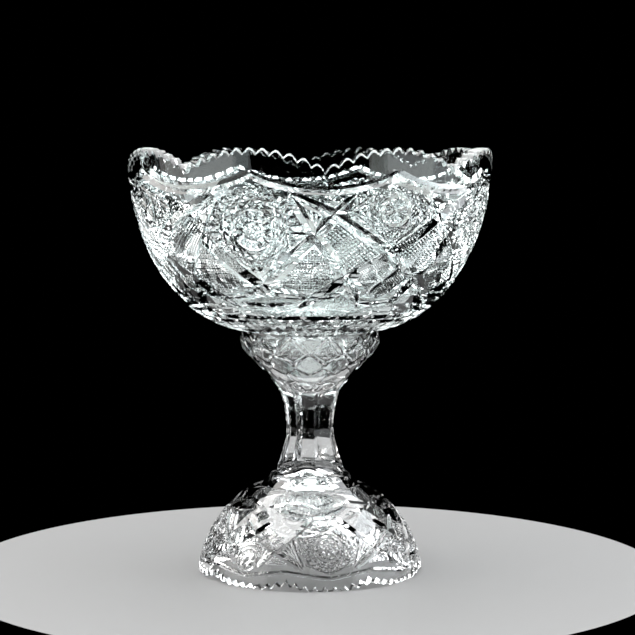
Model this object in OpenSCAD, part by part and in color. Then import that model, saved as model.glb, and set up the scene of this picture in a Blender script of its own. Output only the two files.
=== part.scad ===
// Two-part cut crystal punch bowl: a deep bowl with a lobed, toothed rim rests on a separate stand.
// The stand has a shallow cup that carries the bowl, a solid fluted stem and a hollow domed foot.
// Millimetres, +Z up. The origin is on the table, on the axis of the bowl. The front faces -Y.

/* [Bowl] */
// Widest radius of the bowl, at its rim
rim_r = 152.4; // [148:0.1:156]
// Height of the bowl, from its flat seat to the tips of its rim
bowl_h = 152; // [146:1:158]
// Radius of the flat ground seat under the bowl
seat_r = 57; // [55:0.5:58]
// Thickness of the bowl's wall at the rim
bowl_wall = 10; // [8:0.5:12]
// Thickness of the glass under the bowl's hollow
bowl_floor = 12; // [10:0.5:16]
// Direction of one dip of the rim, in degrees to the right of the front
bowl_turn = 4.5; // [0:0.5:45]

/* [Rim and foot edges] */
// Number of lobes round the rim, and round the foot
lobes = 8; // [6:1:10]
// How much lower the rim is between two lobes than at their middle
rim_dip = 15.5; // [8:0.5:16]
// Number of teeth on one lobe of the rim
rim_teeth = 11; // [7:2:13]
// Depth of the notch between two teeth of the rim
rim_notch = 4.5; // [3:0.5:7]
// How much higher the foot's edge is between two lobes than at their middle
foot_dip = 5.5; // [4:0.5:8]
// Number of teeth on one lobe of the foot
foot_teeth = 9; // [7:2:11]
// Depth of the notch between two teeth of the foot
foot_notch = 4; // [2.5:0.5:5]

/* [Stand] */
// Height of the stand, from the table to the rim of its cup
stand_h = 203.5; // [198:0.5:210]
// Outer radius of the cup's rim
cup_r = 58.5; // [57:0.5:61]
// Thickness of the cup's wall at its rim
cup_wall = 8.5; // [7:0.5:10]
// Radius of the stem at its narrowest
waist_r = 20; // [18:0.5:22]
// Radius of the foot at the table
foot_r = 94.5; // [90:0.5:100]
// Thickness of the foot's edge
foot_wall = 9; // [7:0.5:11]
// Number of flutes round the stem
flutes = 8; // [6:1:10]
// Direction of the middle of one lobe of the foot, in degrees to the right of the front
stand_turn = 10; // [0:0.5:45]

/* [Hidden] */

top_z = stand_h + bowl_h;      // tips of the rim
half_lobe = 180 / lobes;       // half the angle that one lobe takes
tip_land = 0.4;                // neighbouring cutters overlap by this much beyond the tip between them
margin = 8;                    // how far a cutter stands clear of the glass

// The bowl's outer curve is a rounded ellipse that would close at core_r, and the flat seat cuts it off.
core_r = 48;
roundness = 2.1;
seat_t = pow(1 - pow((seat_r - core_r) / (rim_r - core_r), 2), 1 / roundness);
hollow_core_r = 42;            // radius at which the bowl's inner curve meets its flat bottom
curve_steps = 16;              // straight stretches in each curve of the bowl and of the foot

// Heights along the stand
ledge_z = 82;                  // the flat ledge at the bottom of the stem
shoulder_z = 72.5;             // where the foot's dome begins
stem_low_z = 96;               // the foot and the stem join here
stem_high_z = 138;             // the stem and the cup join here
waist_z = 120;                 // the stem is narrowest here
cup_bottom_z = 153;            // lowest point of the cup's hollow
hollow_top_z = 84;             // highest point under the foot's dome

ledge_r = 35;                  // outer radius of the ledge
shoulder_r = 41;               // radius of the foot where its dome begins
dome_power = 1.7;              // these two give the foot's dome its round shape
dome_root = 2 / 3;
flute_r = 66;                  // radius of the wheel that cuts a flute
flute_depth = 1;               // how far a flute reaches into the waist
spline_steps = 3;              // straight stretches between two points of a smooth line

// A point of a Catmull-Rom curve through b and c, at t from 0 to 1
function spline(a, b, c, d, t) =
    0.5 * (2 * b + (c - a) * t + (2 * a - 5 * b + 4 * c - d) * t * t
        + (3 * b - a - 3 * c + d) * t * t * t);

// A smooth line through all the points p but the first and the last
function smooth(p) = concat([
    for (i = [1:len(p) - 3]) for (k = [0:spline_steps - 1])
        spline(p[i - 1], p[i], p[i + 1], p[i + 2], k / spline_steps)
], [p[len(p) - 2]]);

// One side of the cup and the stem, from the cup's rim down to the ledge
stem_outline = smooth([
    [cup_r, stand_h + 8], [cup_r, stand_h - 1], [cup_r, stand_h - 8.5], [cup_r - 2, stand_h - 15.5],
    [cup_r - 8.5, stand_h - 23], [cup_r - 18, stand_h - 33.5], [waist_r + 7, 154], [waist_r + 2, 139],
    [waist_r, waist_z], [waist_r + 2.5, 105], [waist_r + 7, 91], [waist_r + 9.5, ledge_z], [waist_r + 12, 74]
]);

// One side of the cup's hollow, from its rim down to its middle
cup_hollow_outline = smooth([
    [cup_r - cup_wall, stand_h + 8], [cup_r - cup_wall, stand_h + 1], [cup_r - cup_wall, stand_h - 7.5],
    [cup_r - cup_wall - 3.5, stand_h - 16.5], [cup_r - cup_wall - 12.5, stand_h - 25.5],
    [24, cup_bottom_z + 12], [10, cup_bottom_z + 2.5], [0, cup_bottom_z], [-10, cup_bottom_z + 2.5]
]);

// Height of a rounded tooth above its notch: 0 in the notch and 1 at the tip, u from 0 to 1
function tooth(u) = sin(180 * u);

// Drop of a toothed lobe below its highest tip, at an angle a from the lobe's middle
function lobe_drop(a, dip, notch, teeth) =
    let (u = (a / half_lobe + 1) / 2 * teeth)
    dip * pow(a / half_lobe, 2) + notch * (1 - tooth(u - floor(u)));

// Points of a toothed edge, drawn flat, at angles b from a line across it, which lies mid degrees from the
// lobe's middle. The tips of the edge stay below -tip_flat.
function edge_line(angles, mid, r, dip, notch, teeth, tip_flat) = [
    for (b = angles) [r * sin(b), min(-tip_flat, -lobe_drop(mid - abs(b), dip, notch, teeth))]
];

// A slab that cuts away all that lies above a toothed line, from margin outside the radius r inwards
module edge_slab(line, r, depth) {
    ends = [line[0][0] - tip_land, line[len(line) - 1][0] + tip_land];
    translate([0, r + margin, 0]) rotate([90, 0, 0]) linear_extrude(height = depth + margin)
        polygon(concat([[ends[0], margin], [ends[0], line[0][1]]], line,
            [[ends[1], line[len(line) - 1][1]], [ends[1], margin]]));
}

// What is cut away above a toothed edge with tips at height 0: one slab over each lobe, from the tip of its
// first tooth to the tip of its last, and one over each notch between two lobes
module edge_cutters(r, wall, dip, notch, teeth, turn, tip_flat = 0) {
    step = half_lobe / teeth / 2;
    across = [for (i = [2 - 2 * teeth:2 * teeth - 2]) i * step];
    at_dip = [for (i = [-2:2]) i * step];
    around(lobes, turn)
        edge_slab(edge_line(across, 0, r, dip, notch, teeth, tip_flat),
            r, r * (1 - cos(half_lobe)) + 2 * wall);
    around(lobes, turn + half_lobe)
        edge_slab(edge_line(at_dip, half_lobe, r, dip, notch, teeth, tip_flat), r, 2 * wall);
}

// Copies of a shape that points along +Y, set round the axis, the first one a degrees right of the front
module around(count, a) {
    for (k = [0:count - 1]) rotate([0, 0, 180 + a + k * 360 / count]) children();
}

module bowl_outer() {
    steps = [for (i = [0:curve_steps]) pow(i / curve_steps, 0.6) * seat_t];
    full_h = bowl_h / seat_t;
    polygon(concat(
        [[0, stand_h], [0, top_z]],
        [for (t = steps) [core_r + (rim_r - core_r) * sqrt(1 - pow(t, roundness)), top_z - full_h * t]]
    ));
}

module bowl_hollow() {
    depth = bowl_h - bowl_floor;
    in_r = rim_r - bowl_wall;
    polygon(concat(
        [[0, top_z - depth], [0, top_z + margin], [in_r, top_z + margin]],
        [for (i = [0:curve_steps])
            let (t = pow(i / curve_steps, 0.6))
            [hollow_core_r + (in_r - hollow_core_r) * sqrt(1 - pow(t, roundness)), top_z - depth * t]]
    ));
}

// The deep bowl: a thick wall, a flat ground seat and a rim of toothed lobes
module bowl() {
    color("aliceblue") difference() {
        rotate_extrude($fn = 96) difference() {
            bowl_outer();
            bowl_hollow();
        }
        translate([0, 0, top_z])
            edge_cutters(rim_r, bowl_wall, rim_dip, rim_notch, rim_teeth, bowl_turn + half_lobe);
    }
}

// The stand's outline from the axis outwards, between two heights
module stand_band(low_z, high_z) {
    intersection() {
        polygon(concat(
            [[0, 0], [0, stand_h], [cup_r, stand_h]], stem_outline,
            [[ledge_r, ledge_z - 1], [shoulder_r, shoulder_z]],
            [for (i = [1:curve_steps])
                let (t = 1 - pow(i / curve_steps, 1.5))
                [shoulder_r + (foot_r - shoulder_r) * pow(1 - pow(t, dome_power), dome_root), shoulder_z * t]]
        ));
        translate([0, low_z]) square([2 * foot_r, high_z - low_z]);
    }
}

// The wheels that cut flat flutes down the stem, stopping at the ledge
module flute_cutters() {
    around(flutes, stand_turn + 180 / flutes) intersection() {
        translate([0, waist_r - flute_depth + flute_r, waist_z - 2]) rotate([0, 90, 0])
            cylinder(r = flute_r, h = 2 * shoulder_r, center = true, $fn = 96);
        translate([-foot_r, 0, ledge_z]) cube([2 * foot_r, 2 * foot_r, stand_h]);
    }
}

// The shallow open cup whose rim carries the bowl
module stand_cup() {
    color("lavender") difference() {
        rotate_extrude($fn = 96) difference() {
            stand_band(stem_high_z, stand_h);
            polygon(concat([[0, stand_h + margin]], cup_hollow_outline));
        }
        flute_cutters();
    }
}

// The solid waisted stem
module stand_stem() {
    color("lightsteelblue") difference() {
        rotate_extrude($fn = 96) stand_band(stem_low_z, stem_high_z);
        flute_cutters();
    }
}

// The hollow domed foot: it stands on the middle teeth of its lobes, whose tips are ground flat
module stand_foot() {
    tip_flat = 1.3;
    color("lightcyan") difference() {
        rotate_extrude($fn = 96) difference() {
            stand_band(0, stem_low_z);
            polygon(concat([[0, -margin], [foot_r - foot_wall, -margin]],
                [for (i = [0:curve_steps])
                    let (t = pow(i / curve_steps, 0.7))
                    [(foot_r - foot_wall) * pow(1 - pow(t, dome_power), dome_root), hollow_top_z * t]]));
        }
        flute_cutters();
        translate([0, 0, -tip_flat]) mirror([0, 0, 1])
            edge_cutters(foot_r, foot_wall, foot_dip, foot_notch, foot_teeth, stand_turn, tip_flat);
    }
}

bowl();
stand_cup();
stand_stem();
stand_foot();
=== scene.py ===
"""A two-part cut crystal punch bowl: the bowl and its stand, as real cut glass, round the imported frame.

The glass is built the way it is made. A smooth blank is turned from its outline, then wheels cut it: the
mitres, stars, fans and fields of diamonds are all grooves taken out of the blank. Lengths are millimetres
until finish_glass scales a cut blank to metres. A place on the glass is (a, s): a is the angle in degrees to
the right of the front, and s is the distance along the outline from its start.
"""
import math
from collections import namedtuple

import bpy
import numpy as np
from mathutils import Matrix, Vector


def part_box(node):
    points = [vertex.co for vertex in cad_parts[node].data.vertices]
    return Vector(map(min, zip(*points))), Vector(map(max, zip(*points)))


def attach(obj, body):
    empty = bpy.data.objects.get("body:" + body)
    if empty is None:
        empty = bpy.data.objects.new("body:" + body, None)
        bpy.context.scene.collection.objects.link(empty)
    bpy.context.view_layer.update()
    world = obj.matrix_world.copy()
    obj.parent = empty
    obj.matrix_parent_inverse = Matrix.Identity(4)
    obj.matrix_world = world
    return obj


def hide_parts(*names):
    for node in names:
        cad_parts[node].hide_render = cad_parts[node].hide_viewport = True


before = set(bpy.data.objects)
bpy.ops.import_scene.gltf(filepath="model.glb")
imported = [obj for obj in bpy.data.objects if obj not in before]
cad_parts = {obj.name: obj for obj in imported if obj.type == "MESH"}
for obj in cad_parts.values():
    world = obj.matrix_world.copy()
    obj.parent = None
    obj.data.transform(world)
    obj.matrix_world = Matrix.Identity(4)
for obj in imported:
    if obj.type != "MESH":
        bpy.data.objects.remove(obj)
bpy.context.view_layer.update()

MM = 0.001


def node_box(node):
    """The lowest and highest corners of a CAD node, in millimetres."""
    low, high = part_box(node)
    return np.array(low) / MM, np.array(high) / MM


# ---------------------------------------------------------------- sizes

bowl_low, bowl_high = node_box("bowl")
cup_high = node_box("stand_cup")[1]
foot_high = node_box("stand_foot")[1]

RIM_R = bowl_high[0]             # widest radius of the bowl
TOP_Z = bowl_high[2]             # tips of the rim
SEAT_Z = bowl_low[2]             # the bowl's flat seat, on the rim of the cup
BOWL_H = TOP_Z - SEAT_Z
SEAT_R = 57.0
BOWL_WALL = 10.0
BOWL_FLOOR = 12.0
CORE_R = 48.0                    # the bowl's outer curve would close at this radius, below the seat
HOLLOW_CORE_R = 42.0             # the bowl's inner curve meets its flat bottom here
ROUNDNESS = 2.1                  # exponent of the bowl's curves: 2 is an ellipse
CUP_R = cup_high[0]
CUP_TOP_Z = cup_high[2]
CUP_WALL = 8.5
FOOT_R = foot_high[0]
FOOT_WALL = 9.0
FOOT_HOLLOW_Z = 84.0             # highest point under the foot's dome
DOME_POWER, DOME_ROOT = 1.7, 2 / 3
WAIST_R = 20.0
WAIST_Z = 120.0
LEDGE_Z = 82.0                   # the flat ledge at the bottom of the stem
LEDGE_R = 35.0
SHOULDER_Z = 72.5                # where the foot's dome begins
SHOULDER_R = 41.0

LOBES = 8
LOBE = 360 / LOBES               # angle of one lobe
BOWL_TURN = 4.5                  # one dip of the rim
STAND_TURN = 10.0                # middle of one lobe of the foot
RIM_TEETH = 11
RIM_DIP = 15.5
RIM_NOTCH = 4.5
FOOT_TEETH = 9
FOOT_DIP = 5.5
FOOT_NOTCH = 4.0
FOOT_FLAT = 1.3                  # ground off the tips of the teeth that the foot stands on

COLUMNS = 180                    # faces round a blank
AXIS_R = 0.5                     # outlines stop this close to the axis, and a small level face closes them
SWEEP_STEP = 5.0                 # how often a cut that runs along the glass gets a new cross-section, about
SEAT_GAP = 0.02                  # faces within this height of a ground seat are part of it
SHARP_ANGLE = 14                 # degrees between faces that meet in a crisp edge
SMOOTH, CUT, GROUND = 0, 1, 2    # material indices: untouched, cut and ground glass


# ---------------------------------------------------------------- outlines

def arc_length(points):
    """How far along the line each of its points is."""
    steps = np.hypot(*np.diff(points, axis=0).T)
    return np.r_[0, np.cumsum(steps)]


def spline(points, step=1.5):
    """A Catmull-Rom line through all points but the first and last, with a point about every step."""
    p = np.array(points, float)
    out = []
    for a, b, c, d in zip(p, p[1:], p[2:], p[3:]):
        n = max(1, round(np.hypot(*(c - b)) / step))
        t = (np.arange(n) / n)[:, None]
        out.append(0.5 * (2 * b + (c - a) * t + (2 * a - 5 * b + 4 * c - d) * t**2
                          + (3 * b - a - 3 * c + d) * t**3))
    return np.vstack(out + [p[-2:-1]])


def resample(points, step):
    """The same line with evenly spaced points."""
    s = arc_length(points)
    even = np.linspace(0, s[-1], max(2, round(s[-1] / step) + 1))
    return np.column_stack([np.interp(even, s, points[:, i]) for i in (0, 1)])


def oval(core_r, rim_r, depth, t_end=1.0):
    """A side curve of the bowl: a rounded ellipse that would fall from rim_r to core_r over depth. It is drawn as
    far as t_end of that depth, with its points closest together at the rim."""
    t = np.linspace(0, 1, 400)**0.5 * t_end
    t = np.r_[np.linspace(0, 0.25, 60), t[t > 0.25]]
    return np.column_stack([core_r + (rim_r - core_r) * np.sqrt(1 - t**ROUNDNESS), TOP_Z - depth * t])


def level(r, z):
    """A level line from r, which is left out, to the axis."""
    return np.column_stack([np.linspace(r, AXIS_R, 6)[1:], np.full(5, z)])


def bowl_outline():
    """The bowl's outside and its inside, each from the rim down to the axis."""
    t_end = (1 - ((SEAT_R - CORE_R) / (RIM_R - CORE_R))**2)**(1 / ROUNDNESS)
    outside = resample(oval(CORE_R, RIM_R, BOWL_H / t_end, t_end), 5.0)
    outside[-1, 1] = SEAT_Z
    inside = resample(oval(HOLLOW_CORE_R, RIM_R - BOWL_WALL, BOWL_H - BOWL_FLOOR), 6.0)
    return (np.vstack([outside, level(SEAT_R, SEAT_Z)]),
            np.vstack([inside, level(HOLLOW_CORE_R, inside[-1, 1])]))


def dome(edge_r, top_r, height):
    """A side curve of the foot, from its top to its edge at z = 0."""
    t = 1 - np.linspace(0, 1, 200)**1.5
    return np.column_stack([top_r + (edge_r - top_r) * (1 - t**DOME_POWER)**DOME_ROOT, height * t])


def stand_outline():
    """The stand's outside from the cup's rim to the foot's edge, and the hollows of the cup and of the foot, each
    from its top downwards."""
    z = CUP_TOP_Z
    stem = spline([
        (CUP_R, z + 8), (CUP_R, z), (CUP_R, z - 8), (CUP_R - 2, z - 15), (CUP_R - 8.5, z - 23),
        (40.5, z - 33.5), (27, 154), (WAIST_R + 2, 139), (WAIST_R, WAIST_Z), (WAIST_R + 2.5, 105),
        (WAIST_R + 7, 91), (WAIST_R + 9.5, LEDGE_Z), (WAIST_R + 12, 74)])
    ledge = np.array([(LEDGE_R - 1.5, LEDGE_Z - 0.6), (LEDGE_R, LEDGE_Z - 2)])
    outside = np.vstack([stem, ledge, resample(dome(FOOT_R, SHOULDER_R, SHOULDER_Z), 1.5)])
    r = CUP_R - CUP_WALL
    cup = spline([(r, z + 8), (r, z), (r, z - 7.5), (r - 3.5, z - 16.5), (r - 12.5, z - 25.5), (24, 165),
                  (10, 155.5), (AXIS_R, 153), (-10, 155.5)], 3.0)
    hollow = resample(dome(FOOT_R - FOOT_WALL, AXIS_R, FOOT_HOLLOW_Z), 4.0)
    return outside, cup, hollow


class Skin:
    """The outside of a blank: finds the point and the outward normal at a place (a, s)."""

    def __init__(self, outline):
        self.line = outline
        self.s = arc_length(outline)
        slope = np.gradient(outline, self.s, axis=0)
        self.normal = np.column_stack([-slope[:, 1], slope[:, 0]])

    def radius(self, s):
        return np.interp(s, self.s, self.line[:, 0])

    def at(self, a, s):
        r, z = (np.interp(s, self.s, self.line[:, i]) for i in (0, 1))
        nr, nz = (np.interp(s, self.s, self.normal[:, i]) for i in (0, 1))
        a = np.radians(a)
        out = np.column_stack([np.sin(a), -np.cos(a)])
        point = np.column_stack([out * r[:, None], z])
        normal = np.column_stack([out * nr[:, None], nz])
        return point, normal / np.linalg.norm(normal, axis=1)[:, None]


# ---------------------------------------------------------------- meshes

def make_mesh(name, verts, faces, index=SMOOTH):
    """A mesh of closed shapes, all wound the same way, with their faces turned outwards."""
    mesh = bpy.data.meshes.new(name)
    mesh.from_pydata(verts.tolist(), [], faces)
    mesh.polygons.foreach_set("material_index", np.full(len(mesh.polygons), index))
    mesh.calc_loop_triangles()
    corners = np.empty(3 * len(mesh.loop_triangles), int)
    mesh.loop_triangles.foreach_get("vertices", corners)
    a, b, c = verts[corners.reshape(-1, 3).T]
    if (a * np.cross(b, c)).sum() < 0:
        mesh.flip_normals()
    return mesh


def turn(name, line):
    """A closed blank turned round Z from an outline that starts and ends on the axis."""
    a = np.radians(np.arange(COLUMNS) * 360 / COLUMNS)
    ring = np.column_stack([np.sin(a), -np.cos(a)])
    verts = [np.column_stack([ring * r, np.full(COLUMNS, z)]) for r, z in line]
    faces = []
    for i in range(len(line) - 1):
        for k in range(COLUMNS):
            n = (k + 1) % COLUMNS
            faces.append((i * COLUMNS + k, i * COLUMNS + n, (i + 1) * COLUMNS + n, (i + 1) * COLUMNS + k))
    last = (len(line) - 1) * COLUMNS
    faces.append(tuple(reversed(range(COLUMNS))))
    faces.append(tuple(last + k for k in range(COLUMNS)))
    return make_mesh(name, np.vstack(verts), faces)


def sweep(skin, path, section):
    """Vertices and faces of a closed bar that follows a path of places. section(u, length) gives its
    cross-section at each share u of the way, from 0 to 1, as points (x across the path, y out of the glass)."""
    path = np.array(path, float)
    flat = path * (math.radians(1) * skin.radius(path[:, 1].mean()), 1)
    s = arc_length(flat)
    n = max(6, round(s[-1] / SWEEP_STEP) + 4)
    u = 0.5 - 0.5 * np.cos(np.pi * np.arange(n) / (n - 1))
    a, along = (np.interp(u * s[-1], s, path[:, i]) for i in (0, 1))
    point, normal = skin.at(a, along)
    tangent = np.gradient(point, axis=0)
    tangent -= normal * (tangent * normal).sum(1)[:, None]
    tangent /= np.linalg.norm(tangent, axis=1)[:, None]
    side = np.cross(tangent, normal)
    shape = section(u, s[-1])
    k = shape.shape[1]
    verts = point[:, None] + side[:, None] * shape[:, :, :1] + normal[:, None] * shape[:, :, 1:]
    faces = [(i * k + j, (i + 1) * k + j, (i + 1) * k + (j + 1) % k, i * k + (j + 1) % k)
             for i in range(n - 1) for j in range(k)]
    faces.append(tuple(range(k)))
    faces.append(tuple((n - 1) * k + j for j in reversed(range(k))))
    return verts.reshape(-1, 3), faces


def fade(u, length, ends):
    """How deep a cut is along its way: 1 in the middle, rounding off over the lengths given for its ends."""
    way = u * length
    f = np.ones_like(u)
    for distance, run in ((way, ends[0]), (length - way, ends[1])):
        if run:
            f = np.minimum(f, distance / run)
    f = np.clip(f, 0, 1)
    return np.maximum(np.sqrt(f * (2 - f)), 0.02)


def wedge(half, depth, ends):
    """The cross-section of a mitre wheel's cut. half and depth are numbers, or (at the start, at the end)."""
    def section(u, length):
        f = fade(u, length, ends)
        h, d = (np.interp(u, (0, 1), (v, v) if np.isscalar(v) else v) * f for v in (half, depth))
        zero, lid = np.zeros_like(u), np.full_like(u, 0.3)
        corners = (-h, lid), (-h, zero), (zero, -d), (h, zero), (h, lid)
        return np.stack([np.column_stack(c) for c in corners], 1)
    return section


def flute(half, radius, hollow, ends):
    """The cross-section of a broad flute on a stem: flat from edge to edge but for a slight hollow. half and
    radius list its half-width and the stem's radius at even distances from its start to its end."""
    x = np.linspace(-1, 1, 9)

    def section(u, length):
        f = fade(u, length, ends)
        h, r = (np.interp(u, np.linspace(0, 1, len(v)), v) for v in (half, radius))
        xs = x * (h * f)[:, None]
        ys = -(h * h / (2 * r) * f)[:, None] - hollow * (1 - x * x) * f[:, None]
        lid = np.full((len(u), 1), 2.0)
        sides = [np.stack([xs[:, [i]], lid], 2) for i in (0, -1)]
        return np.concatenate([sides[0], np.stack([xs, ys], 2), sides[1]], 1)
    return section


# ---------------------------------------------------------------- cut patterns

def segment_gap(p, q):
    """The least distance between two lines of straight stretches."""
    best = 1e9
    for a, b in zip(p, p[1:]):
        for c, d in zip(q, q[1:]):
            r, t = b - a, d - c
            cross = r[0] * t[1] - r[1] * t[0]
            if abs(cross) > 1e-9:
                w = c - a
                x = (w[0] * t[1] - w[1] * t[0]) / cross
                y = (w[0] * r[1] - w[1] * r[0]) / cross
                if 0 <= x <= 1 and 0 <= y <= 1:
                    return 0.0
            for e, f, g in ((a, c, d), (b, c, d), (c, a, b), (d, a, b)):
                h = g - f
                k = min(1, max(0, (e - f) @ h / max(h @ h, 1e-9)))
                best = min(best, np.hypot(*(e - f - h * k)))
    return best


def span(corners, start, way, inset):
    """Where the line start + t * way is inside a convex polygon, and inset from its sides: the least and most
    t."""
    t0, t1 = -1e3, 1e3
    for b, c in zip(corners, np.roll(corners, -1, 0)):
        edge = (c - b) / np.hypot(*(c - b))
        inward = np.array([-edge[1], edge[0]])
        here = (start - b) @ inward - inset
        rate = way @ inward
        if abs(rate) < 1e-9:
            if here < 0:
                return 0, 0
        elif rate > 0:
            t0 = max(t0, -here / rate)
        else:
            t1 = min(t1, -here / rate)
    return t0, t1


# A cut follows path, with the cross-section section, and is wide on each side of it
Cut = namedtuple("Cut", "path section wide family")


class Pattern:
    """The cuts on one blank. They repeat every period degrees, the first time at start, and each cut is also made
    mirrored about the middle of the period's first motif, unless it is already symmetrical. Stars and rays keep
    at least clear away from the polygon that they stop at."""

    def __init__(self, skin, start, period, clear=0.0):
        self.skin, self.start, self.period, self.clear = skin, start, period, clear
        self.cuts = []

    def scale(self, s):
        """Millimetres in one degree at s."""
        return math.radians(1) * float(self.skin.radius(s))

    def cut(self, path, half, depth, ends=(3, 3), mirror=True, family=None):
        """One mitre. Cuts of one family are laid out so that they don't touch each other."""
        self.add(path, wedge(half, depth, ends), max(np.atleast_1d(half)), mirror, family)

    def add(self, path, section, wide, mirror=True, family=None):
        """A cut of any cross-section."""
        path = np.array(path, float)
        self.cuts.append(Cut(path, section, wide, family))
        if mirror:
            self.cuts.append(Cut(path * (-1, 1), section, wide, family and (family, "mirrored")))

    def local(self, centre, points):
        """Places at points (x to the right, y downwards) round a centre, in millimetres."""
        k = self.scale(centre[1])
        return [(centre[0] + x / k, centre[1] + y) for x, y in points]

    def layers(self):
        """Sorts the cuts into layers in which none touches another, so that each layer is one clean tool."""
        paths = [cut.path for cut in self.cuts]
        low = np.array([p.min(0) for p in paths])
        high = np.array([p.max(0) for p in paths])
        wide = np.array([cut.wide for cut in self.cuts])
        layer = []
        for i, p in enumerate(paths):
            taken = set()
            k = self.scale(p[:, 1].mean())
            for shift in (-self.period, 0, self.period):
                room = wide[:i] + wide[i] + 0.2
                near = np.ones(i, bool)
                near &= low[:i, 0] + shift < high[i, 0] + room / k
                near &= high[:i, 0] + shift > low[i, 0] - room / k
                near &= (low[:i, 1] < high[i, 1] + room) & (high[:i, 1] > low[i, 1] - room)
                for j in np.flatnonzero(near):
                    kin = self.cuts[i].family is not None and self.cuts[i].family == self.cuts[j].family
                    if kin or layer[j] in taken:
                        continue
                    q = paths[j] + (shift, 0)
                    if segment_gap(p * (k, 1), q * (k, 1)) < wide[i] + wide[j] + 0.03:
                        taken.add(layer[j])
            layer.append(next(n for n in range(len(taken) + 1) if n not in taken))
        return layer

    def tools(self):
        """One closed mesh for each layer of cuts, with all its repeats."""
        layer = self.layers()
        tools = []
        for n in range(max(layer) + 1):
            verts, faces, base = [], [], 0
            for cut, own in zip(self.cuts, layer):
                if own != n:
                    continue
                for k in range(round(360 / self.period)):
                    v, f = sweep(self.skin, cut.path + (self.start + k * self.period, 0), cut.section)
                    verts.append(v)
                    faces += [tuple(base + i for i in face) for face in f]
                    base += len(v)
            tools.append(make_mesh("tool_%d" % n, np.vstack(verts), faces, CUT))
        return tools

    # Motifs, built from cuts

    def around(self, centre, polygon):
        """A convex polygon of places as points round a centre, in millimetres, turning one way."""
        corners = (np.array(polygon, float) - centre) * (self.scale(centre[1]), 1)
        turn = np.cross(corners[1] - corners[0], corners[2] - corners[1])
        return corners if turn > 0 else corners[::-1]

    def comb(self, polygon, angle, pitch, shift, half, depth, inset, mirror=True):
        """Parallel grooves across a convex polygon of places, kept inset from its sides. They are shifted by a
        share of the pitch."""
        middle = np.array(polygon, float).mean(0)
        corners = self.around(middle, polygon)
        family = ("comb", angle, shift, *map(tuple, polygon))
        along = np.array([math.cos(math.radians(angle)), math.sin(math.radians(angle))])
        across = np.array([-along[1], along[0]])
        reach = math.floor(np.abs(corners @ across).max() / pitch)
        for start in across * pitch * (shift + np.arange(-reach, reach + 1))[:, None]:
            t0, t1 = span(corners, start, along, inset)
            if t1 - t0 > 2.5 * half:
                path = self.local(middle, (start + along * t0, start + along * t1))
                self.cut(path, half, depth, (0.6, 0.6), mirror, family)

    def diamonds(self, polygon, angles, pitch, inset, mirror=True):
        """A field of small pointed diamonds, cut by crossing sets of grooves side by side."""
        for angle in angles:
            self.comb(polygon, angle, pitch, 0, pitch * 0.48, pitch * 0.42, inset, mirror)

    def star(self, centre, radius, points, skip, half, depth, within=None):
        """A hobstar: chords that join each point of a ring to the one skip places on. within is a polygon that
        they stop at."""
        v = 2 * math.pi / points * np.arange(points)
        tips = radius * np.column_stack([np.sin(v), -np.cos(v)])
        for tip, far in zip(tips, np.roll(tips, -skip, 0)):
            length = np.hypot(*(far - tip))
            way = (far - tip) / length
            t0, t1 = 0, length
            if within is not None:
                least, most = span(self.around(centre, within), tip, way, self.clear)
                t0, t1 = max(least, 0), min(most, length)
            if t1 - t0 > 4 * half:
                path = self.local(centre, (tip + way * t0, tip + way * t1))
                self.cut(path, half, depth, (radius * 0.2,) * 2, False)

    def rays(self, centre, inner, outer, count, depth, turn=0.0, ends=(0.5, 1.5), within=None):
        """Grooves that run out from a centre and widen on the way, so that they stay side by side. depth is a
        share of half their width. within is a polygon that they stop at."""
        family = ("rays", tuple(centre), inner)
        for v in np.radians(turn + 360 / count * np.arange(count)):
            way = np.array([math.sin(v), -math.cos(v)])
            reach = outer
            if within is not None:
                reach = min(outer, span(self.around(centre, within), 0 * way, way, self.clear)[1])
            if reach > inner + 1.5:
                half = [0.94 * math.pi * r / count for r in (inner, reach)]
                path = self.local(centre, (way * inner, way * reach))
                self.cut(path, half, [depth * h for h in half], ends, False, family)

    def ring(self, centre, radius, half, depth):
        """A round groove, in two halves."""
        v = np.radians(np.arange(0, 361, 15))
        points = self.local(centre, radius * np.column_stack([np.sin(v), -np.cos(v)]))
        self.cut(points[:13], half, depth, (0, 0), False)
        self.cut(points[12:], half, depth, (0, 0), False)


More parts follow.
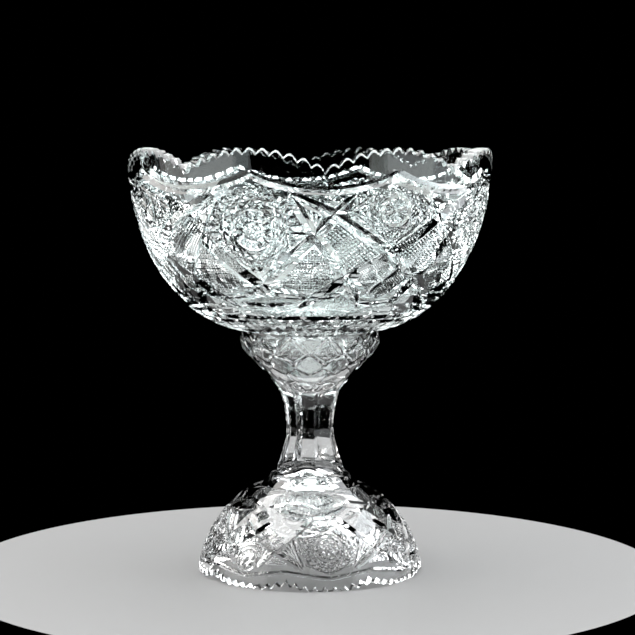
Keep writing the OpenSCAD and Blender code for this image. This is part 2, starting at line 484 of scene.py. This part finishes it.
def bowl_pattern(skin):
    """Two motifs take turns round the bowl, one under each lobe: a hobstar in a tall kite, and a many-rayed star
    in a low one. Wide mitres frame them and cross between them. Degrees are counted from a hobstar's middle."""
    p = Pattern(skin, BOWL_TURN - LOBE / 2, 2 * LOBE, 4.0)
    half, depth = 4.5, 4.2                           # of the wide mitres
    top_a, top_b = (12, 36), (32, 37)                # where the mitres start, under the swag
    cross_1, cross_2 = (25.7, 52), (19.7, 69)        # where they cross between the motifs
    low_b, cross_3, low_a = (45, 85), (30.7, 106), (0, 113)
    foot_1, foot_2 = (38.5, 137), (12.5, 137)        # where they end, above the base

    # The swag sags between the lobes like a hanging chain
    swag = [(LOBE * t, 20 + 13 * math.sin(math.pi * t)**0.8) for t in np.linspace(0, 1, 13)]
    p.cut(swag, 3.5, 3.2, (0, 0))

    p.cut([top_a, cross_1, low_b, (51, 99)], half, depth, (9, 4))
    p.cut([top_b, cross_1, cross_2, low_a, (-3, 120)], half, depth, (9, 6))
    p.cut([top_a, cross_2, cross_3, foot_1], half, depth, (9, 30))
    p.cut([(51, 74), low_b, cross_3, foot_2], half, depth, (4, 30))

    # Almonds above the base
    p.cut([(4, 121), (17, 127), (30, 121)], 2.8, 1.8, (12, 12))
    p.cut([(-11, 131), (0, 134), (11, 131)], 2.4, 1.5, (10, 10), False)
    p.cut([(34, 129), (45, 132), (56, 129)], 2.4, 1.5, (10, 10), False)

    # Fields of diamonds, and a fan, between the mitres
    p.diamonds([top_a, top_b, cross_1], (62, -40), 1.6, 4.8)
    start = (cross_2[0], cross_2[1] - 6)
    for k in np.linspace(0.25, 0.75, 4):
        far = (top_a[0] + (cross_1[0] - top_a[0]) * k, top_a[1] + (cross_1[1] - top_a[1]) * k)
        p.cut([start, (start[0] + (far[0] - start[0]) * 0.75, start[1] + (far[1] - start[1]) * 0.75)],
              (0.5, 1.2), (0.5, 1.1), (2, 4))
    p.diamonds([cross_1, low_b, cross_3, cross_2], (40, -36), 2.7, 4.9)
    p.diamonds([low_b, cross_3, (45, 135), (59.3, 106)], (45, -45), 1.8, 5.2, False)
    p.cut([(37.8, 95), (50, 121)], 1.9, 1.8, (3, 3))

    # Rows of buttons below the hobstar: pairs of grooves that cross
    buttons = [cross_2, cross_3, (18, 128), (3, 113)]
    for angle in (2, 92):
        for shift in (0, 0.42):
            p.comb(buttons, angle, 4.6, shift, 0.9, 0.9, 4.9)

    # The hobstar
    centre = (0, 65)
    kite = [(0, 24), top_a, cross_2, (0, 108), (-cross_2[0], cross_2[1]), (-top_a[0], top_a[1])]
    for skip in (5, 6):
        p.star(centre, 46, 16, skip, 1.4, 1.3, kite)
    p.rays(centre, 29, 60, 32, 0.95, 5.6, (2, 3), kite)
    p.rays(centre, 8.8, 15.5, 16, 0.8)
    p.ring(centre, 7.4, 0.9, 0.9)
    p.star(centre, 6.2, 8, 3, 0.6, 0.6)

    # The many-rayed star and the chords round it
    centre = (45, 49)
    field = [(45, 24), (59, 37), (64, 52), (45, 82), (26, 52), (31, 37)]
    p.rays(centre, 0.8, 10.9, 24, 0.9)
    for skip in (7, 9):
        p.star(centre, 37, 24, skip, 1.0, 0.95, field)
    return p


def bowl_base(skin):
    """Long flutes round the foot of the bowl, two rows of almonds above them, and a star under the bowl."""
    p = Pattern(skin, BOWL_TURN, 15.0)
    seat_s = skin.s[np.argmin(abs(skin.line[:, 0] - SEAT_R) + abs(skin.line[:, 1] - SEAT_Z))]
    p.cut([(0, seat_s - 36), (0, seat_s - 4)], 5.5, 2.6, (18, 12), False)
    p.cut([(7.5, seat_s - 29), (7.5, seat_s - 3)], 4.0, 1.8, (16, 10), False)
    p.cut([(-9, seat_s - 46), (0, seat_s - 44), (9, seat_s - 46)], 3.2, 2.4, (9, 9), False)
    p.cut([(-1.5, seat_s - 38), (7.5, seat_s - 36), (16.5, seat_s - 38)], 3.0, 2.2, (9, 9), False)
    p.cut([(0, seat_s + 10), (0, seat_s + SEAT_R - 4)], (3.2, 0.3), (2.0, 0.3), (8, 0), False)
    return p


def subtract(blank, tools):
    """Cuts tools, a list of closed meshes, out of the mesh blank."""
    work = bpy.data.objects.new("work", blank)
    tool = bpy.data.objects.new("tool", tools[0])
    for o in (work, tool):
        bpy.context.scene.collection.objects.link(o)
    for mesh in tools:
        tool.data = mesh
        cut = work.modifiers.new("cut", "BOOLEAN")
        cut.operation, cut.solver, cut.object = "DIFFERENCE", "MANIFOLD", tool
        result = bpy.data.meshes.new_from_object(work.evaluated_get(bpy.context.evaluated_depsgraph_get()))
        work.modifiers.clear()
        work.data = result
    result = work.data
    bpy.data.objects.remove(work)
    bpy.data.objects.remove(tool)
    return result


def toothed_line(angle, dip, notch, teeth):
    """How far a toothed edge lies below its highest tip, at an angle from the middle of a lobe."""
    lobe = (angle / LOBE + 0.5) % 1
    tooth = np.abs(np.sin(np.pi * lobe * teeth))
    return dip * (2 * lobe - 1)**2 + notch * (1 - tooth)


def edge_tool(name, r, wall, z, up, turn, dip, notch, teeth, bevel, flat=0.0):
    """A ring that cuts a toothed edge: up is 1 for a rim and -1 for a foot. The teeth are bevelled outside, and
    flat is how much is ground off their tips."""
    per_tooth = 12                                   # points along one tooth
    margin = 12.0                                    # how far the ring stands clear of the glass
    count = LOBES * teeth * per_tooth
    angle = np.arange(count) * 360 / count
    drop = np.maximum(toothed_line(angle - turn, dip, notch, teeth) - flat, 0)
    lid = np.full(count, margin)
    inner, outer = r - wall - margin, r + margin
    a = np.radians(angle)
    rings = [np.column_stack([radius * np.sin(a), -radius * np.cos(a), z + up * height])
             for radius, height in ((inner, -drop), (r - bevel, -drop), (r + 1, -drop - bevel - 1),
                                    (outer, -drop - bevel - 1), (outer, lid), (inner, lid))]
    faces = []
    for i in range(len(rings)):
        j = (i + 1) % len(rings)
        for k in range(count):
            n = (k + 1) % count
            face = (i * count + k, j * count + k, j * count + n, i * count + n)
            faces.append(face if up > 0 else face[::-1])
    return make_mesh(name, np.vstack(rings), faces, CUT)


def finish_glass(name, mesh, materials, is_ground):
    """Scales a cut blank to metres, keeps its cut edges sharp and gives it its materials. is_ground(r, z) says
    which faces are ground dull, from the distance of their middles from the axis and their heights."""
    co = np.empty(3 * len(mesh.vertices))
    mesh.vertices.foreach_get("co", co)
    mesh.vertices.foreach_set("co", co * MM)
    middle = np.empty(3 * len(mesh.polygons))
    mesh.polygons.foreach_get("center", middle)
    index = np.empty(len(mesh.polygons), int)
    mesh.polygons.foreach_get("material_index", index)
    x, y, z = middle.reshape(-1, 3).T / MM
    index[is_ground(np.hypot(x, y), z)] = GROUND
    mesh.polygons.foreach_set("material_index", index)
    mesh.materials.clear()
    for m in materials:
        mesh.materials.append(m)
    mesh.shade_smooth()
    mesh.set_sharp_from_angle(angle=math.radians(SHARP_ANGLE))
    obj = bpy.data.objects.new(name, mesh)
    bpy.context.scene.collection.objects.link(obj)
    return obj


def make_bowl(materials):
    outside, inside = bowl_outline()
    skin = Skin(outside)
    blank = turn("bowl_blank", np.vstack([outside[::-1], inside]))
    tools = bowl_pattern(skin).tools() + bowl_base(skin).tools()
    tools.append(edge_tool("rim_tool", RIM_R, BOWL_WALL, TOP_Z, 1, BOWL_TURN + LOBE / 2,
                           RIM_DIP, RIM_NOTCH, RIM_TEETH, 1.6))
    return finish_glass("cut_bowl", subtract(blank, tools), materials,
                        lambda r, z: (abs(z - SEAT_Z) < SEAT_GAP) & (r > CUP_R - CUP_WALL - 4))


def place_on(skin, z):
    """How far along the outline of the stand the height z is."""
    return float(np.interp(-z, -skin.line[:, 1], skin.s))


def stem_pattern(skin):
    """Eight broad flutes down the stem. They are made in two turns, because neighbours meet in an edge."""
    p = Pattern(skin, STAND_TURN + LOBE / 2, 2 * LOBE)
    top, waist, bottom = (place_on(skin, z) for z in (161, WAIST_Z, LEDGE_Z + 1.5))
    full = math.pi / LOBES                           # half a flute's share of the way round, as an angle
    radii = [float(skin.radius(s)) for s in (top, (top + waist) / 2, waist, (waist + bottom) / 2, bottom)]
    for a in (0, LOBE):
        p.add([(a, s) for s in (top, waist, bottom)], flute([full * r for r in radii], radii, 0.5, (16, 7)),
              full * max(radii), False)
    return p


def cup_pattern(skin):
    """Twelve fields of fine diamonds round the cup, framed by mitres that cross between them."""
    p = Pattern(skin, -15.5, 30)
    top, side, low = 3, 16, 29
    p.cut([(0, top - 2), (15, side), (0, low), (-3, low + 2.5)], 1.3, 1.2, (2, 3))
    p.diamonds([(0, top), (15, side), (0, low), (-15, side)], (88, 2), 1.5, 2.4, False)
    p.cut([(0, low + 5), (15, low + 13)], 1.3, 1.1, (5, 2))
    return p


def dome_pattern(skin):
    """The foot repeats the bowl's plan: a rosette in a kite under every second lobe, a hobstar in a many-sided
    field under the others, and mitres between them. Lengths are counted down from the ledge."""
    start = place_on(skin, LEDGE_Z - 2)

    def place(*points):
        return [(a, start + s) for a, s in points]

    p = Pattern(skin, STAND_TURN - LOBE, 2 * LOBE, 2.2)
    half, depth = 2.7, 2.5                           # of the wide mitres
    top, cross, end = (0, 60), (15, 73), (31.5, 87)
    corner, low = (24, 61), (7, 87)
    peak, side = (37, 43), (45, 94)

    p.cut(place((0, 94.5), (11, 92), (22.5, 89.5), (34, 92), (45, 94.5)), 1.8, 1.6, (0, 0))
    p.cut(place((-10, 48), top, cross, end), half, depth, (6, 3))
    p.cut(place(peak, corner, cross, low), half, depth, (5, 4))
    p.cut(place(corner, end), 1.6, 1.3, (3, 3))
    p.cut(place(peak, (53, 43)), 1.8, 1.4, (3, 3), False)

    # The hobstar and its field
    centre = (45, start + 69.5)
    field = place(peak, (53, 43), (66, 61), (58.5, 87), side, end, corner)
    p.star(centre, 3.8, 8, 3, 0.5, 0.5)
    p.rays(centre, 4.6, 7.6, 8, 0.8, ends=(1.2, 1.2))
    p.ring(centre, 9.6, 1.2, 1.2)
    for skip in (7, 9):
        p.star(centre, 33, 24, skip, 1.0, 0.95, field)

    # Fields of diamonds, and a fan, between the mitres
    p.diamonds(place(top, cross, corner, (7, 48)), (38, -48), 1.5, 3.0)
    for k in np.linspace(0, 1, 5):
        far = (18 + 6 * k, 72 - 8.5 * k)
        p.cut(place((30.5, 84.5), far), (0.5, 1.3), (0.5, 1.1), (2, 4))
    p.diamonds(place(cross, low, end), (60, -60), 1.5, 2.8)
    p.diamonds(place((0, 36), (8, 42), (0, 52), (-8, 42)), (45, -45), 1.5, 1.0, False)

    # The rosette
    centre = (0, start + 82)
    kite = place(top, cross, low, (0, 94), (-low[0], low[1]), (-cross[0], cross[1]))
    p.star(centre, 7.6, 8, 3, 0.8, 0.8)
    p.ring(centre, 9.4, 0.9, 0.9)
    for skip in (7, 9):
        p.star(centre, 32, 24, skip, 0.9, 0.85, kite)

    # Almonds round the shoulder
    p.cut(place((2, 34), (22, 27), (43, 34)), 1.9, 1.2, (9, 9))
    p.cut(place((12, 37), (30, 41)), 2.6, 1.2, (9, 9))
    return p


def make_stand(materials):
    outside, cup, hollow = stand_outline()
    skin = Skin(outside)
    blank = turn("stand_blank", np.vstack([hollow, outside[::-1], cup]))
    tools = stem_pattern(skin).tools() + cup_pattern(skin).tools() + dome_pattern(skin).tools()
    tools.append(edge_tool("foot_tool", FOOT_R, FOOT_WALL, 0, -1, STAND_TURN,
                           FOOT_DIP, FOOT_NOTCH, FOOT_TEETH, 1.2, FOOT_FLAT))
    return finish_glass("cut_stand", subtract(blank, tools), materials,
                        lambda r, z: (z < SEAT_GAP) | (z > CUP_TOP_Z - SEAT_GAP))


# ---------------------------------------------------------------- materials

def node(tree, kind, **values):
    """A new node, with values for its sockets (by name, _ for a space) or its own settings."""
    made = tree.nodes.new(kind)
    for key, value in values.items():
        socket = made.inputs.get(key.replace("_", " ").title())
        if socket is None:
            setattr(made, key, value)
        else:
            socket.default_value = value
    return made


def crystal(name, tint, smooth, dull, grain, depth):
    """Clear lead crystal. Its roughness drifts between smooth and dull, its surface has a grain so many to the
    metre and depth metres deep, and its sharpest edges are worn a little dull."""
    mat = bpy.data.materials.new(name)
    mat.use_nodes = True
    tree = mat.node_tree
    shader = tree.nodes["Principled BSDF"]
    shader.inputs["Base Color"].default_value = (*tint, 1)
    shader.inputs["Transmission Weight"].default_value = 1
    shader.inputs["IOR"].default_value = 1.545
    place = node(tree, "ShaderNodeTexCoord")
    drift = node(tree, "ShaderNodeTexNoise", scale=45, detail=4)
    gloss = node(tree, "ShaderNodeMapRange", from_min=0.4, from_max=0.75, to_min=smooth, to_max=dull)
    shape = node(tree, "ShaderNodeNewGeometry")
    worn = node(tree, "ShaderNodeMapRange", from_min=0.56, from_max=0.7, to_min=0.0, to_max=0.1)
    total = node(tree, "ShaderNodeMath", operation="ADD")
    fine = node(tree, "ShaderNodeTexNoise", scale=grain, detail=2)
    bump = node(tree, "ShaderNodeBump", strength=0.5, distance=depth)
    link = tree.links.new
    link(place.outputs["Object"], drift.inputs["Vector"])
    link(drift.outputs["Fac"], gloss.inputs["Value"])
    link(shape.outputs["Pointiness"], worn.inputs["Value"])
    link(gloss.outputs["Result"], total.inputs[0])
    link(worn.outputs["Result"], total.inputs[1])
    link(total.outputs["Value"], shader.inputs["Roughness"])
    link(place.outputs["Object"], fine.inputs["Vector"])
    link(fine.outputs["Fac"], bump.inputs["Height"])
    link(bump.outputs["Normal"], shader.inputs["Normal"])
    return mat


def glass_set(name, tint):
    """The materials for untouched, cut and ground glass, in the order of their indices."""
    return (crystal(name + "_smooth", tint, 0.0, 0.03, 60, 0.00004),
            crystal(name + "_cut", tint, 0.0, 0.06, 900, 0.000004),
            crystal(name + "_ground", tint, 0.35, 0.5, 4000, 0.00003))


def plain(name, color, roughness):
    """An even opaque material."""
    mat = bpy.data.materials.new(name)
    mat.use_nodes = True
    shader = mat.node_tree.nodes["Principled BSDF"]
    shader.inputs["Base Color"].default_value = (*color, 1)
    shader.inputs["Roughness"].default_value = roughness
    return mat


# ---------------------------------------------------------------- stage

def make_floor():
    """A round pale floor, small enough that dark lies behind the bowl."""
    bpy.ops.mesh.primitive_circle_add(vertices=128, radius=0.3, fill_type="NGON", location=(0, 0, -0.0002))
    floor = bpy.context.object
    floor.name = "floor"
    floor.data.materials.append(plain("floor_paint", (0.15, 0.15, 0.15), 0.6))


def make_world():
    """Darkness all round, so that the panels alone light the glass."""
    world = bpy.data.worlds.new("studio")
    world.use_nodes = True
    world.node_tree.nodes["Background"].inputs["Color"].default_value = (0, 0, 0, 1)
    bpy.context.scene.world = world
    bpy.context.scene.view_settings.view_transform = "Standard"
    bpy.context.scene.view_settings.gamma = 1.1


def soft_light(name, place, target, size, brightness, color=(1, 1, 1)):
    """A flat panel of even brightness, which only the glass and the floor see."""
    data = bpy.data.lights.new(name, "AREA")
    data.shape = "RECTANGLE"
    data.size, data.size_y = size
    data.energy = brightness * math.pi * size[0] * size[1]
    data.color = color
    light = bpy.data.objects.new(name, data)
    light.location = place
    light.rotation_euler = (Vector(target) - Vector(place)).to_track_quat("-Z", "Y").to_euler()
    light.visible_camera = False
    bpy.context.scene.collection.objects.link(light)


def make_lights():
    """A big panel overhead, one at each side and two dim ones in front, which show on the plain band of the
    rim."""
    middle = Vector((0, 0, 0.22))

    def place(azimuth, elevation, distance):
        a, e = math.radians(azimuth), math.radians(elevation)
        out = Vector((math.cos(e) * math.sin(a), -math.cos(e) * math.cos(a), math.sin(e)))
        return middle + distance * out

    soft_light("overhead", (0, 0, 1.5), middle, (2.4, 2.4), 6.6)
    for side, name, tint in ((1, "right", (0.93, 0.97, 1.0)), (-1, "left", (1.0, 0.98, 0.95))):
        soft_light("side_" + name, place(90 * side, 32, 1.1), middle, (0.9, 0.5), 6, tint)
        soft_light("front_" + name, place(74 * side, 8, 1.3), middle, (1.4, 0.9), 1, tint)


def make_camera():
    """At the height of the rim, a long way in front, looking down to the middle of the object, which is a little
    to the left in the picture."""
    distance = 1.66
    pitch = math.radians(4.9)
    data = bpy.data.cameras.new("camera")
    data.sensor_width = 36
    data.angle = math.radians(18.2)
    data.shift_x = 0.0118
    camera = bpy.data.objects.new("camera", data)
    bpy.context.scene.collection.objects.link(camera)
    camera.location = (0, -distance, TOP_Z * MM)
    camera.rotation_euler = (math.pi / 2 - pitch, 0, 0)
    bpy.context.scene.camera = camera


make_camera()
make_floor()
make_world()
make_lights()

bowl = make_bowl(glass_set("bowl_crystal", (0.925, 1.0, 0.992)))
stand = make_stand(glass_set("stand_crystal", (0.99, 1.0, 1.0)))
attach(bowl, "bowl")
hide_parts("bowl")
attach(stand, "stand")
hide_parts("stand_cup", "stand_stem", "stand_foot")
